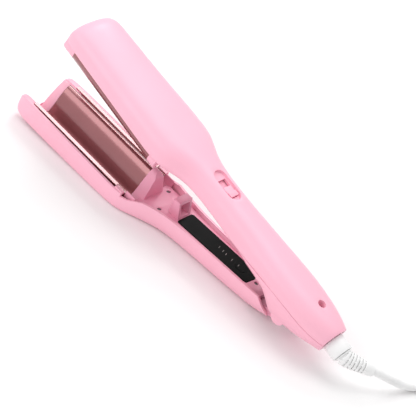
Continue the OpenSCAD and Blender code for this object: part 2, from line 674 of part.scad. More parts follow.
// Torsion spring on the pin, one leg to each body
module return_spring() color(steel) {
    turns = 2.25;
    steps = 32;
    coil = [for (i = [0:steps]) let (a = 360 * turns * i / steps)
        [spring_r * cos(a), spring_r * sin(a), 1.45 * a / 360]];
    legs = [coil[steps] + [-3, -0.2, 0.2], coil[steps] + [-9, -0.3, 0.3]];
    translate([hinge_x, spring_side + 0.9, hinge_z]) rotate([-90, 0, 0]) mirror([0, 1, 0]) rotate([0, 0, 0])
        sweep(concat([[spring_r, -9, 0], [spring_r, -3, 0]], coil, legs),
            [for (i = [0:steps + 4]) 0.6], 8);
}

module lock_detent() color(steel) {
    translate([lock_x + 11, -4, pad_z - 2.5]) cube([7, 8, 0.5]);
}

module handle_screw() color(steel) {
    translate([screw_x, 0, screw_seat_z]) cylinder(r = 2.8, h = 2);
    translate([screw_x, 0, 24]) cylinder(r = screw_r, h = screw_seat_z - 24);
}

module main_cover_screws() color(steel) {
    for (p = MAIN_SCREWS) translate([p, 0, part_z - 1.6]) cylinder(r = screw_r, h = 5);
}

module cord_clamp() color(gloss_black) {
    translate([127, -8, end_z - 7]) difference() {
        cube([6, 16, 4]);
        translate([-1, 8, 6.2]) rotate([0, 90, 0]) cylinder(r = 3.4, h = 8);
    }
}

module swivel_bush() color(pink) {
    translate([end_x - 3.6, 0, end_z]) rotate([0, 90, 0]) difference() {
        cylinder(r = end_r - wall - 0.15, h = 3.6);
        translate([0, 0, -1]) cylinder(r = neck_r + 0.06, h = 6);
    }
}

module swivel_collar() color(cord_white) {
    translate([end_x, 0, end_z]) rotate([0, 90, 0]) difference() {
        union() {
            translate([0, 0, -6.2]) cylinder(r = collar_r, h = 2.3);
            translate([0, 0, -4]) cylinder(r = neck_r, h = 5);
            translate([0, 0, collar_gap]) cylinder(r = collar_r, h = collar_len);
        }
        translate([0, 0, -7]) cylinder(r = 5.2, h = collar_len + 9);
    }
}

// ---- cord ----

module strain_relief() color(cord_white) {
    sweep(RELIEF_ROUTE, RELIEF_RADII, 12);
}

module power_cord() color(cord_white) {
    sweep(CORD_ROUTE, [for (p = CORD_ROUTE) cord_d / 2], 10);
}

module cord_tail() color(cord_white) {
    sweep(TAIL_ROUTE, [for (p = TAIL_ROUTE) cord_d / 2], 10);
}

module cord_coil() color(cord_white) {
    step = cord_d - 0.3;
    span = (coil_rows - 1) * step;
    translate(coil_centre) rotate_extrude($fn = 72) union() {
        for (i = [0:coil_rows - 1], k = [0:coil_rows - 1])
            translate([coil_r + i * step - span / 2, cord_d / 2 + k * step]) circle(d = cord_d, $fn = 24);
        translate([coil_r - span / 2, cord_d / 2]) square([span, span]);
    }
}

module cord_tie() color(gloss_black) {
    span = coil_rows * cord_d + 0.6;
    translate(coil_centre + [-4, -coil_r - span / 2 - 1, 0]) difference() {
        translate([0, 0, 0]) cube([8, span + 2, span + 1]);
        translate([-1, 1, -1]) cube([10, span, span + 1]);
    }
}

module plug_body() color(cord_white) {
    translate(plug_at) rotate([90, 0, 0]) {
        cylinder(r1 = 4.4, r2 = 6, h = 8);
        translate([0, 0, 8]) linear_extrude(20) square([24, 16.6], center = true);
    }
}

module plug_pins() color(steel) {
    for (s = [-1, 1]) translate(plug_at + [s * 6.35 - 0.8, -28 - 16, -3.2]) cube([1.6, 16, 6.4]);
}

// ---- lock ----

module lock_slider() color(pink) {
    translate([lock_x + 0.5, -4.3, pad_z - 3]) cube([9, 8.6, 4]);
    translate([lock_x + 5.5, -4.3, pad_z]) cube([4, 8.6, 1.9]);
    translate([lock_x - 4, -7.6, pad_z - 4.4]) cube([15, 15.2, 1.8]);
}

module lock_bolt() color(steel) {
    toe = cover_z + loop_h - loop_t - 2.3;
    translate([loop_x + 13.4, -bolt_w / 2, toe]) cube([3, bolt_w, pad_z - 4.4 - toe]);
    translate([loop_x + 9.8, -bolt_w / 2, toe]) cube([6, bolt_w, 2]);
}

placed() on_main() main_top_shell();
placed() on_main() main_inner_cover();
placed() on_main() rear_cover();
placed() on_main() upper_wave_plate();
placed() on_main() upper_jaw_frame();
placed() on_main() upper_heaters();
placed() on_main() upper_insulation();
placed() on_main() thermal_fuse();
placed() on_main() power_board();
placed() on_main() main_wires();
placed() on_main() hinge_pin();
placed() on_main() hinge_bushes();
placed() on_main() return_spring();
placed() on_main() lock_detent();
placed() on_main() handle_screw();
placed() on_main() main_cover_screws();
placed() on_main() cord_clamp();
placed() on_main() swivel_bush();
placed() on_main() swivel_collar();
placed() strain_relief();
placed() power_cord();
placed() cord_coil();
placed() cord_tail();
placed() cord_tie();
placed() plug_body();
placed() plug_pins();
placed() on_main() lock_slider();
placed() on_main() lock_bolt();
placed() lower_arm_shell();
placed() lower_inner_cover();
placed() lower_wave_plate();
placed() lower_heater();
placed() lower_insulation();
placed() thermistor();
placed() control_board();
placed() panel_lens();
placed() power_button();
placed() lock_loop();
placed() arm_cover_screws();
placed() arm_wires();
placed() hinge_knuckle();
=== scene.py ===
import json
import math

import bmesh
import bpy
from mathutils import Matrix, Vector


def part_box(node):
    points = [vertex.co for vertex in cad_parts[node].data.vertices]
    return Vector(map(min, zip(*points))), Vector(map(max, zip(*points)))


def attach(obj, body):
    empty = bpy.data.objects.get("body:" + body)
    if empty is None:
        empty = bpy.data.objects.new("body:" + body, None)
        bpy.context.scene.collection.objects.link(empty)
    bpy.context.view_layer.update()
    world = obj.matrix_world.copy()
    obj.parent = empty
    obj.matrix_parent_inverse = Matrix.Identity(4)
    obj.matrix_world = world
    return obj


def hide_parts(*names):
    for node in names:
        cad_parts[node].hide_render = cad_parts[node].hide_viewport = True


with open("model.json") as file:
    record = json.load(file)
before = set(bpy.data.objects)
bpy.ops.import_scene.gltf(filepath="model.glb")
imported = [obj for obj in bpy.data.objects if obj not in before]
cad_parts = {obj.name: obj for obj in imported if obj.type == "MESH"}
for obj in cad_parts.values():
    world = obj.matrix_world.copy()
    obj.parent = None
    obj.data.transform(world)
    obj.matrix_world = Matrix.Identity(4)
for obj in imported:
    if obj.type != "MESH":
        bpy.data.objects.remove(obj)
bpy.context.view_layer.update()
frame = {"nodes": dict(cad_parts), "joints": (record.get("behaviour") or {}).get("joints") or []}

bl_info = {
    "name": "Hair Waver",
    "version": (1, 0, 0),
    "blender": (4, 5, 0),
    "location": "View3D > Sidebar > Hair Waver",
    "description": "Finishes and soft parts of a corded hair waver on its packed frame",
    "category": "Object",
}

NODES = frame["nodes"]
MM = 0.001

# Sizes and places are those of the part's own drawing, in millimetres, unless a comment says
# otherwise.

# The jaws' hinge: its place in the frame, in metres, its place in the drawing, and how far the jaws
# stand open at rest
JAW_HINGE = next(joint for joint in frame["joints"] if joint["name"] == "jaw_hinge")
HINGE = Vector(JAW_HINGE["pos_m"])
HINGE_X, HINGE_Z = 110, 17
OPEN_ANGLE = math.radians(JAW_HINGE["range_deg"][1])

# The drawing's x that lies over the frame's origin
CENTRE_X = HINGE_X - HINGE.x / MM

# Carries the main handle's closed drawing, in metres, to its open place
SWING = (Matrix.Translation(HINGE) @ Matrix.Rotation(OPEN_ANGLE, 4, "Y")
         @ Matrix.Translation((-HINGE_X * MM, 0, -HINGE_Z * MM)))

# The cord's course: from the strain relief down to the coil, and from the tail's turn over the coil
# to the plug
CORD_ROUTE = ((178, 9.7, 17.1), (181.5, 13, 16.3), (185, 16.6, 15.1), (188.5, 20.6, 13.4),
              (192, 25, 11.2), (195.2, 30, 8.7), (198.2, 35, 6.4), (201, 40, 4.8), (203.6, 45, 3.8),
              (206, 50, 3.4), (208.3, 55, 3.2), (210.5, 60, 3.15), (212.8, 65.1, 3.15),
              (215.1, 70.5, 3.15))
TAIL_ROUTE = ((296, 72, 15.6), (297, 63, 13.2), (296.5, 54, 11.2), (294.7, 45, 9.9), (292, 36, 9),
              (289.7, 27, 8.6), (288.7, 21, 8.5), (288.5, 17, 8.5))

# The coil: its centre and middle radius, its columns of turns, and in degrees the angle at which
# the cord comes in, the step between two of its points, and where in a turn it starts to cross to
# the next one and how long that takes
COIL_CENTRE = (252.4, 61.6)
COIL_R = 31.3
COIL_COLUMNS = 3
COIL_START = 155.2
COIL_STEP = 15
CROSSING_START, CROSSING_SPAN = 285, 45

# The tail's turn over the coil, as degrees round the coil's centre, radius and height
TAIL_TURN = ((150, 25.2, 15.75), (130, 25.6, 17.2), (110, 27.4, 20.2), (90, 30.5, 21.9),
             (70, 34.2, 22.1), (52, 38, 22), (38, 41.6, 20.9), (25, 45, 18.2))

# The strain relief's sleeve: its centre line, the steps from one of that line's points to the next,
# the sides of a ring, pairs of run along the line and radius for the neck and flange, where the
# slotted stretch starts and ends, and such pairs for the tip, whose runs count back from the end
RELIEF_ROUTE = ((150.5, 0, 22.37), (160.7, 0, 19.83), (163, 0.1, 19.26), (166, 1.4, 18.7),
                (170, 3.8, 18.3), (174, 6.5, 17.8), (178, 9.7, 17.1), (181.5, 13, 16.3))
RELIEF_STEPS = 12
RELIEF_SIDES = 48
RELIEF_NECK = ((0, 5.1), (10.5, 5.1), (10.52, 6.5), (11, 6.7))
RELIEF_SLOTS = (11.7, 29.6)
RELIEF_TIP = ((0.5, 4.6), (0, 4.2))

# The sleeve's ribs: the first one's radius, how much thinner the last one is, the radius where
# they end, how deep the slots are, how many bridges cross a slot and the share of it that they
# take, and the rings of one rib, as share of the pitch, added radius and whether it lies in the slot
RIB_RADIUS = 6.6
RIB_TAPER = 1.6
RIB_END_RADIUS = 4.95
SLOT_DEPTH = 1.7
BRIDGES = 4
BRIDGE_SHARE = 0.16
RIB_RINGS = ((0, 0, False), (0.02, 0, True), (0.3, 0, True), (0.32, 0, False), (0.66, 0.08, False))

# The lock slider's dust flap, in the main handle's closed drawing: its size, its middle and how far
# its edges are eased
FLAP_SIZE = (5.4, 14.4, 1.5)
FLAP_PLACE = (6.5, 0, 35.65)
FLAP_EDGE = 0.3

# The control panel's marks: a bar's width and length, its turn in degrees and its lift off the
# surface, then for each piece its body, the node that carries it and where its bars are
BAR_SIZE = (0.45, 2.5)
BAR_TURN = 14
BAR_LIFT = 0.04
MARKS = (("panel_marks", "lower_arm", "panel_lens", ((37.8, 1.5), (42.2, 1), (45.5, 0.6), (51.8, 0.4))),
         ("button_mark", "button", "power_button", ((58.4, 0.4),)))

# Welding distance in metres, and the angles, in degrees, from which an edge is eased on a CAD node
# and left hard on an added piece
WELD = 2e-6
EASED_ANGLE = 48
ADDED_CREASE = 35

# The camera's lens and sensor, the x that it turns round, and its shift across and above the view
# in metres
LENS = 161.8
SENSOR = 36
AIM_X = 5
VIEW_SHIFT = (0.021, 0.0188)

# The ground's half width in metres, its colour, how far under the object it lies, and the
# distances in metres between which it fades to white
GROUND_REACH = 4
GROUND_COLOUR = (0.93, 0.925, 0.925)
GROUND_DROP = 0.2
GROUND_FADE = (0.4, 1.2)

# Each lamp's share of the stage's lamp power, its length and width, and its place, in metres
LAMPS = (("Key", 0.65, 1.2, 0.6, (-0.15, 0.3, 1.2)),
         ("Back", 0.5, 0.4, 0.5, (-0.58, 0.92, 1.06)),
         ("Near", 0.66, 0.9, 0.9, (-0.5, -1.0, 0.7)))


def in_frame(point):
    """A point of the drawing as a place in the frame, in metres."""
    return Vector(((point[0] - CENTRE_X) * MM, point[1] * MM, point[2] * MM))


def round_coil(angle, radius, height):
    """A place in the frame from degrees and metres round the coil's centre."""
    angle = math.radians(angle)
    centre = Vector((COIL_CENTRE[0] - CENTRE_X, COIL_CENTRE[1], 0)) * MM
    return centre + Vector((radius * math.cos(angle), radius * math.sin(angle), height))


def linear(colour):
    """A display colour, 0 to 255, as the scene-linear one that a shader takes."""
    shares = [c / 255 for c in colour]
    return tuple(c / 12.92 if c <= 0.04045 else ((c + 0.055) / 1.055) ** 2.4 for c in shares)


def toned(colour, share):
    """A darker or lighter tone of a colour."""
    return tuple(c * share for c in colour)


# ---------------------------------------------------------------- shader maths


class Value:
    """A shader socket that takes part in Python expressions."""

    def __init__(self, tree, socket):
        self.tree, self.socket = tree, socket

    def _math(self, operation, *values):
        return self.tree.node("ShaderNodeMath", values, operation=operation)

    def __add__(self, other):
        return self._math("ADD", self, other)

    __radd__ = __add__

    def __sub__(self, other):
        return self._math("SUBTRACT", self, other)

    def __rsub__(self, other):
        return self._math("SUBTRACT", other, self)

    def __mul__(self, other):
        return self._math("MULTIPLY", self, other)

    __rmul__ = __mul__

    def between(self, low, high):
        """0 below low, 1 above high and a smooth step between."""
        return self.tree.node("ShaderNodeMapRange", [self, low, high], interpolation_type="SMOOTHSTEP")


class Tree:
    """The node tree of a material or a world, with one method for every node."""

    # A Mix node's sockets for colours, by number because it has others of the same names
    MIX_FACTOR, MIX_A, MIX_B, MIX_RESULT = 0, 6, 7, 2

    def __init__(self, owner):
        owner.use_nodes = True
        self.owner = owner
        self.nodes = owner.node_tree.nodes
        self.links = owner.node_tree.links
        self.nodes.clear()

    def node(self, kind, values=(), output=0, **settings):
        """A node of a kind, from its settings and its sockets' values or links, as one of its outputs."""
        made = self.nodes.new(kind)
        for key, value in settings.items():
            setattr(made, key, value)
        pairs = values.items() if isinstance(values, dict) else enumerate(values)
        for key, value in pairs:
            socket = made.inputs[key]
            if isinstance(value, Value):
                self.links.new(value.socket, socket)
            elif socket.type == "RGBA":
                socket.default_value = (*value, 1)
            else:
                socket.default_value = value
        return Value(self, made.outputs[output] if made.outputs else None)

    def place(self, scale=(1, 1, 1)):
        """Object coordinates, scaled."""
        spot = self.node("ShaderNodeTexCoord", output="Object")
        return self.node("ShaderNodeMapping", {"Vector": spot, "Scale": scale})

    def noise(self, scale, detail=2.0, place=None):
        """Noise over the object's own coordinates, or over a place of its own."""
        return self.node("ShaderNodeTexNoise",
                         {"Vector": place or self.place(), "Scale": scale, "Detail": detail})

    def mix(self, factor, a, b):
        """Colours a and b mixed by factor."""
        return self.node("ShaderNodeMix", {self.MIX_FACTOR: factor, self.MIX_A: a, self.MIX_B: b},
                         output=self.MIX_RESULT, data_type="RGBA")

    def bump(self, height, strength, depth):
        """A normal from a height, whose depth is in millimetres."""
        return self.node("ShaderNodeBump", {"Height": height, "Strength": strength, "Distance": depth * MM})

    def principled(self, **sockets):
        """The finished material."""
        values = {key.replace("_", " "): value for key, value in sockets.items()}
        self.node("ShaderNodeOutputMaterial", {"Surface": self.node("ShaderNodeBsdfPrincipled", values)})
        return self.owner


# ---------------------------------------------------------------- finishes


def new_tree(name):
    """The empty node tree of a new material."""
    return Tree(bpy.data.materials.new(name))


def satin_plastic(name, colour, shade, roughness=0.38):
    """Moulded satin plastic: a faint drift of tone and a fine sprayed grain."""
    tree = new_tree(name)
    drift = tree.noise(18).between(0.35, 0.7)
    grain = tree.noise(2600)
    wear = tree.noise(140, 3).between(0.3, 0.75)
    return tree.principled(Base_Color=tree.mix(drift, colour, shade), Roughness=wear * 0.08 + roughness,
                           Coat_Weight=0.12, Coat_Roughness=0.25, Specular_IOR_Level=0.4,
                           Normal=tree.bump(grain, 0.15, 0.02))


def coated_metal(name, colour, dark):
    """Ceramic-coated plate, drawn along its length."""
    tree = new_tree(name)
    streak = tree.noise(30, place=tree.place((1, 24, 24)))
    cloud = tree.noise(16).between(0.3, 0.75)
    return tree.principled(Base_Color=tree.mix(cloud, colour, dark), Metallic=0.4,
                           Roughness=streak * 0.05 + 0.2, Coat_Weight=1.0, Coat_Roughness=0.1)


def gloss_plastic(name, colour, shade, roughness=0.3):
    """Panel plastic with faint swirls of handling."""
    tree = new_tree(name)
    swirl = tree.noise(70, 4).between(0.4, 0.7)
    return tree.principled(Base_Color=tree.mix(swirl, colour, shade), Roughness=swirl * 0.06 + roughness,
                           Specular_IOR_Level=0.03, Normal=tree.bump(tree.noise(500), 0.03, 0.01))


def soft_rubber(name, colour, shade):
    """Matt cord sheath."""
    tree = new_tree(name)
    tone = tree.noise(60, 3).between(0.35, 0.7)
    return tree.principled(Base_Color=tree.mix(tone, colour, shade), Roughness=tone * 0.1 + 0.5,
                           Specular_IOR_Level=0.35, Normal=tree.bump(tree.noise(1800), 0.2, 0.02))


def plain_metal(name, colour, roughness=0.3):
    """Turned or stamped steel with fine scratches."""
    tree = new_tree(name)
    scratch = tree.noise(300, 4, tree.place((1, 8, 1)))
    return tree.principled(Base_Color=tree.mix(scratch, colour, toned(colour, 0.8)), Metallic=1.0,
                           Roughness=scratch * 0.15 + roughness, Normal=tree.bump(scratch, 0.1, 0.02))


def circuit_board(name, colour, trace):
    """Lacquered board with a faint lattice of traces."""
    tree = new_tree(name)
    lattice = tree.node("ShaderNodeTexBrick",
                        {"Vector": tree.place(), "Scale": 130.0, "Mortar Size": 0.03}, output="Fac")
    return tree.principled(Base_Color=tree.mix(lattice, colour, trace),
                           Roughness=tree.noise(90) * 0.2 + 0.35)


def flaky_sheet(name, colour, fleck):
    """Pressed insulation sheet with flecks."""
    tree = new_tree(name)
    flecks = tree.noise(320, 4).between(0.5, 0.62)
    return tree.principled(Base_Color=tree.mix(flecks, colour, fleck), Roughness=flecks * 0.15 + 0.7,
                           Normal=tree.bump(flecks, 0.3, 0.04))


def ground_paper(name, colour):
    """Matt pale ground that fades to plain white away from the object, for the camera alone."""
    tree = new_tree(name)
    paper = tree.node("ShaderNodeBsdfPrincipled",
                      {"Base Color": colour, "Roughness": 1.0, "Specular IOR Level": 0.0})
    white = tree.node("ShaderNodeEmission", {"Color": (1, 1, 1), "Strength": 1.0})
    distance = tree.node("ShaderNodeVectorMath", [tree.place()], output="Value", operation="LENGTH")
    seen = tree.node("ShaderNodeLightPath", output="Is Camera Ray")
    both = tree.node("ShaderNodeMixShader", [distance.between(*GROUND_FADE) * seen, paper, white])
    tree.node("ShaderNodeOutputMaterial", {"Surface": both})
    return tree.owner


def white_sky(name, fill):
    """A world that the camera and reflections see as white, and that lights by the fill's strength."""
    tree = Tree(bpy.data.worlds.new(name))
    seen = tree.node("ShaderNodeLightPath", output="Is Camera Ray")
    mirrored = tree.node("ShaderNodeLightPath", output="Is Glossy Ray")
    lighting = 1 - seen - mirrored
    strength = 1 - lighting * (1 - fill)
    glow = tree.node("ShaderNodeBackground", {"Color": (1, 1, 1), "Strength": strength})
    tree.node("ShaderNodeOutputWorld", {"Surface": glow})
    return tree.owner


# ---------------------------------------------------------------- mesh helpers


def piece(name, bm, body, material, smooth=True):
    """A finished piece from a bmesh, riding on a body."""
    mesh = bpy.data.meshes.new(name)
    bm.to_mesh(mesh)
    bm.free()
    mesh.polygons.foreach_set("use_smooth", [smooth] * len(mesh.polygons))
    obj = bpy.data.objects.new(name, mesh)
    bpy.context.scene.collection.objects.link(obj)
    mesh.materials.append(material)
    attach(obj, body)
    return obj


def crisp(obj, crease):
    """Smooth shading that breaks at a crease angle in degrees."""
    split = obj.modifiers.new("Crease", "EDGE_SPLIT")
    split.split_angle = math.radians(crease)
    split.use_edge_sharp = False


def dress(material, *names, crease=32, edge=0):
    """Gives CAD nodes their material, welds them, eases their sharp edges by a width in millimetres
    and smooths them up to a crease angle in degrees."""
    for name in names:
        obj = NODES[name]
        mesh = obj.data
        mesh.materials.clear()
        mesh.materials.append(material)
        if "custom_normal" in mesh.attributes:
            mesh.attributes.remove(mesh.attributes["custom_normal"])
        mesh.polygons.foreach_set("use_smooth", [True] * len(mesh.polygons))
        weld = obj.modifiers.new("Weld", "WELD")
        weld.merge_threshold = WELD
        if edge:
            bevel = obj.modifiers.new("Eased edges", "BEVEL")
            bevel.width, bevel.segments = edge * MM, 2
            bevel.limit_method, bevel.angle_limit = "ANGLE", math.radians(EASED_ANGLE)
        crisp(obj, crease)


def ring(bm, centre, heading, radius, count):
    """A ring of vertices square to a heading."""
    made = bmesh.ops.create_circle(bm, segments=count, radius=radius)["verts"]
    turn = heading.to_track_quat("Z", "Y").to_matrix().to_4x4()
    bmesh.ops.transform(bm, matrix=Matrix.Translation(centre) @ turn, verts=made)
    return made


def join_rings(bm, rings):
    """Faces from each ring to the next, and a face over each end."""
    for a, b in zip(rings, rings[1:]):
        both = set(a) | set(b)
        edges = {e for v in both for e in v.link_edges
                 if (e.verts[0] in a) == (e.verts[1] in a) and e.verts[0] in both and e.verts[1] in both}
        bmesh.ops.bridge_loops(bm, edges=list(edges))
    for end in (rings[0], rings[-1]):
        bmesh.ops.contextual_create(bm, geom=end)
    bmesh.ops.recalc_face_normals(bm, faces=bm.faces)


def curve_points(route, steps):
    """A smooth line of points through a route."""
    out = []
    for i in range(len(route) - 1):
        a, b = route[max(i - 1, 0)], route[i]
        c, d = route[i + 1], route[min(i + 2, len(route) - 1)]
        for k in range(steps):
            t = k / steps
            out.append(0.5 * (2 * b + (c - a) * t + (2 * a - 5 * b + 4 * c - d) * t * t
                              + (3 * b - a - 3 * c + d) * t ** 3))
    return out + [route[-1]]


# ---------------------------------------------------------------- settings


def colour_setting(name, description, colour):
    """A colour that the user can change, from its display colour."""
    return bpy.props.FloatVectorProperty(name=name, description=description, subtype="COLOR", size=3,
                                         default=linear(colour), min=0, max=1)


class WaverFinish(bpy.types.PropertyGroup):
    """Colours of the moulded, coated and lacquered pieces"""
    shell: colour_setting("Shell", "Colour of the outer shells", (252, 186, 206))
    shell_shade: colour_setting("Shell shade", "Second tone of the outer shells", (250, 184, 203))
    inner: colour_setting("Inner covers", "Colour of the inner covers", (238, 164, 188))
    plate: colour_setting("Wave plates", "Colour of the plates' coating", (153, 86, 91))
    plate_dark: colour_setting("Wave plates, dark", "Second tone of the plates' coating", (141, 75, 79))
    panel: colour_setting("Panel", "Colour of the control panel", (9, 9, 9))
    cord: colour_setting("Cord", "Colour of the cord and its strain relief", (245, 245, 245))


class WaverCord(bpy.types.PropertyGroup):
    """Sizes of the cord, its coil and its strain relief"""
    diameter: bpy.props.FloatProperty(
        name="Diameter", description="Diameter of the cord", default=0.0063, min=0.005, max=0.008,
        unit="LENGTH")
    turns: bpy.props.IntProperty(
        name="Turns per column", description="Turns of the coil in each column", default=3, min=2, max=4)
    ribs: bpy.props.IntProperty(
        name="Ribs", description="Ribs of the strain relief", default=7, min=5, max=10)


class WaverStage(bpy.types.PropertyGroup):
    """Place of the camera and strength of the lights"""
    azimuth: bpy.props.FloatProperty(
        name="Azimuth", description="Camera's angle round the object", default=math.radians(24.5),
        subtype="ANGLE")
    elevation: bpy.props.FloatProperty(
        name="Elevation", description="Camera's angle above the horizon", default=math.radians(36.5),
        subtype="ANGLE")
    roll: bpy.props.FloatProperty(
        name="Roll", description="Camera's roll", default=math.radians(27), subtype="ANGLE")
    distance: bpy.props.FloatProperty(
        name="Distance", description="Camera's distance", default=1.38, min=0.5, max=4, unit="LENGTH")
    power: bpy.props.FloatProperty(
        name="Lamp power", description="Power of which each lamp takes its share", default=8.5, min=0,
        max=80)
    fill: bpy.props.FloatProperty(
        name="Fill", description="Strength of the even surrounding light", default=0.65, min=0, max=2)


# ---------------------------------------------------------------- operators


class WAVER_OT_stage(bpy.types.Operator):
    """Camera, ground and soft lights"""
    bl_idname = "waver.stage"
    bl_label = "Stage"

    def execute(self, context):
        scene = context.scene
        stage = scene.waver_stage
        self.camera(scene, stage)
        self.ground(scene)
        for name, share, length, width, spot in LAMPS:
            self.lamp(scene, name, stage.power * share, length, width, Vector(spot))
        scene.world = white_sky("Sky", stage.fill)
        scene.view_settings.view_transform = "Standard"
        return {"FINISHED"}

    def camera(self, scene, stage):
        """Camera at its angles and distance from the object, looking at it and turned by its roll."""
        back = Vector((math.sin(stage.azimuth) * math.cos(stage.elevation),
                       -math.cos(stage.azimuth) * math.cos(stage.elevation), math.sin(stage.elevation)))
        right = (-back).cross(Vector((0, 0, 1))).normalized()
        up = right.cross(-back)
        across = right * math.cos(stage.roll) + up * math.sin(stage.roll)
        above = up * math.cos(stage.roll) - right * math.sin(stage.roll)
        data = bpy.data.cameras.new("Camera")
        data.lens, data.sensor_width = LENS, SENSOR
        camera = bpy.data.objects.new("Camera", data)
        aim = Vector(((AIM_X - CENTRE_X) * MM, 0, 0))
        place = back * stage.distance + across * VIEW_SHIFT[0] + above * VIEW_SHIFT[1] + aim
        turn = Matrix((across, above, back)).transposed()
        camera.matrix_world = Matrix.Translation(place) @ turn.to_4x4()
        scene.collection.objects.link(camera)
        scene.camera = camera

    def ground(self, scene):
        """Flat ground just under the object."""
        bm = bmesh.new()
        bmesh.ops.create_grid(bm, x_segments=2, y_segments=2, size=GROUND_REACH)
        mesh = bpy.data.meshes.new("Ground")
        bm.to_mesh(mesh)
        bm.free()
        ground = bpy.data.objects.new("Ground", mesh)
        ground.location.z = -GROUND_DROP * MM
        mesh.materials.append(ground_paper("Ground paper", GROUND_COLOUR))
        scene.collection.objects.link(ground)

    def lamp(self, scene, name, power, length, width, spot):
        """Soft rectangular lamp that faces the origin."""
        data = bpy.data.lights.new(name, "AREA")
        data.shape = "RECTANGLE"
        data.energy, data.size, data.size_y = power, length, width
        lamp = bpy.data.objects.new(name, data)
        lamp.location = spot
        lamp.rotation_euler = (-spot).to_track_quat("-Z", "Y").to_euler()
        scene.collection.objects.link(lamp)


class WAVER_OT_cord(bpy.types.Operator):
    """Power cord with its coil and plug, and the ribbed strain relief"""
    bl_idname = "waver.cord"
    bl_label = "Cord"

    def execute(self, context):
        cord, finish = context.scene.waver_cord, context.scene.waver_finish
        sheath = soft_rubber("Cord sheath", tuple(finish.cord), toned(finish.cord, 0.93))
        boot = soft_rubber("Relief rubber", tuple(finish.cord), toned(finish.cord, 0.95))
        self.relief(cord, boot)
        self.lead(context.scene, cord, sheath)
        return {"FINISHED"}

    def lead(self, scene, cord, sheath):
        """Cord from the strain relief through its coil to the plug, as one curve."""
        line = [in_frame(p) for p in CORD_ROUTE] + self.coil(cord)
        line += [round_coil(angle, radius * MM, height * MM) for angle, radius, height in TAIL_TURN]
        line += [in_frame(p) for p in TAIL_ROUTE]
        data = bpy.data.curves.new("power_lead", "CURVE")
        data.dimensions = "3D"
        data.bevel_depth = cord.diameter / 2
        data.bevel_resolution = 5
        data.resolution_u = 3
        spline = data.splines.new("BEZIER")
        spline.bezier_points.add(len(line) - 1)
        for knot, p in zip(spline.bezier_points, line):
            knot.co = p
            knot.handle_left_type = knot.handle_right_type = "AUTO"
        lead = bpy.data.objects.new("power_lead", data)
        scene.collection.objects.link(lead)
        data.materials.append(sheath)
        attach(lead, "main_body")
        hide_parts("power_cord", "cord_coil", "cord_tail")
        length = sum((b - a).length for a, b in zip(line, line[1:]))

    def coil(self, cord):
        """Points of the coil, whose columns go up, down and up again, each inside the last one."""
        step, turns = cord.diameter, cord.turns
        points = []
        for column in range(COIL_COLUMNS):
            falling = column % 2 == 1
            radius = COIL_R * MM + ((COIL_COLUMNS - 1) / 2 - column) * step
            for turn in range(turns):
                level = turns - 1 - turn if falling else turn
                for swept in range(0, 360, COIL_STEP):
                    r, height = radius, (level + 0.5) * step
                    share = min(1, max(0, (swept - CROSSING_START) / CROSSING_SPAN))
                    share = share * share * (3 - 2 * share)
                    if turn < turns - 1:
                        height += share * step * (-1 if falling else 1)
                    elif column < COIL_COLUMNS - 1:
                        r -= share * step
                    points.append(round_coil(COIL_START - swept, r, height))
        return points

    def relief(self, cord, rubber):
        """Tapered sleeve whose slots leave short bridges, turned an eighth from slot to slot."""
        line = curve_points([in_frame(p) for p in RELIEF_ROUTE], RELIEF_STEPS)
        runs = [0]
        for a, b in zip(line, line[1:]):
            runs.append(runs[-1] + (b - a).length)
        bm = bmesh.new()
        rings = []
        for run, radius, slot in self.relief_rings(cord.ribs, runs[-1]):
            k = max(1, next((i for i, r in enumerate(runs) if r >= run), len(runs) - 1))
            before, after = line[k - 1], line[k]
            centre = before.lerp(after, (run - runs[k - 1]) / (runs[k] - runs[k - 1]))
            made = ring(bm, centre, (after - before).normalized(), radius * MM, RELIEF_SIDES)
            if slot is not None:
                for i, v in enumerate(made):
                    turn = (i / RELIEF_SIDES * BRIDGES + slot % 2 * 0.5) % 1
                    if turn > BRIDGE_SHARE:
                        v.co += (centre - v.co).normalized() * SLOT_DEPTH * MM
            rings.append(made)
        join_rings(bm, rings)
        sleeve = piece("relief_sleeve", bm, "main_body", rubber)
        crisp(sleeve, ADDED_CREASE)
        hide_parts("strain_relief")

    def relief_rings(self, ribs, end):
        """The sleeve's rings, as run in metres, radius in millimetres and number of the slot."""
        first, last = (run * MM for run in RELIEF_SLOTS)
        pitch = (last - first) / ribs
        rings = [(run * MM, radius, None) for run, radius in RELIEF_NECK]
        for k in range(ribs):
            radius = RIB_RADIUS - RIB_TAPER * k / (ribs - 1)
            for place, added, slotted in RIB_RINGS:
                rings.append((first + (k + place) * pitch, radius + added, k if slotted else None))
        rings.append((last, RIB_END_RADIUS, None))
        return rings + [(end - run * MM, radius, None) for run, radius in RELIEF_TIP]


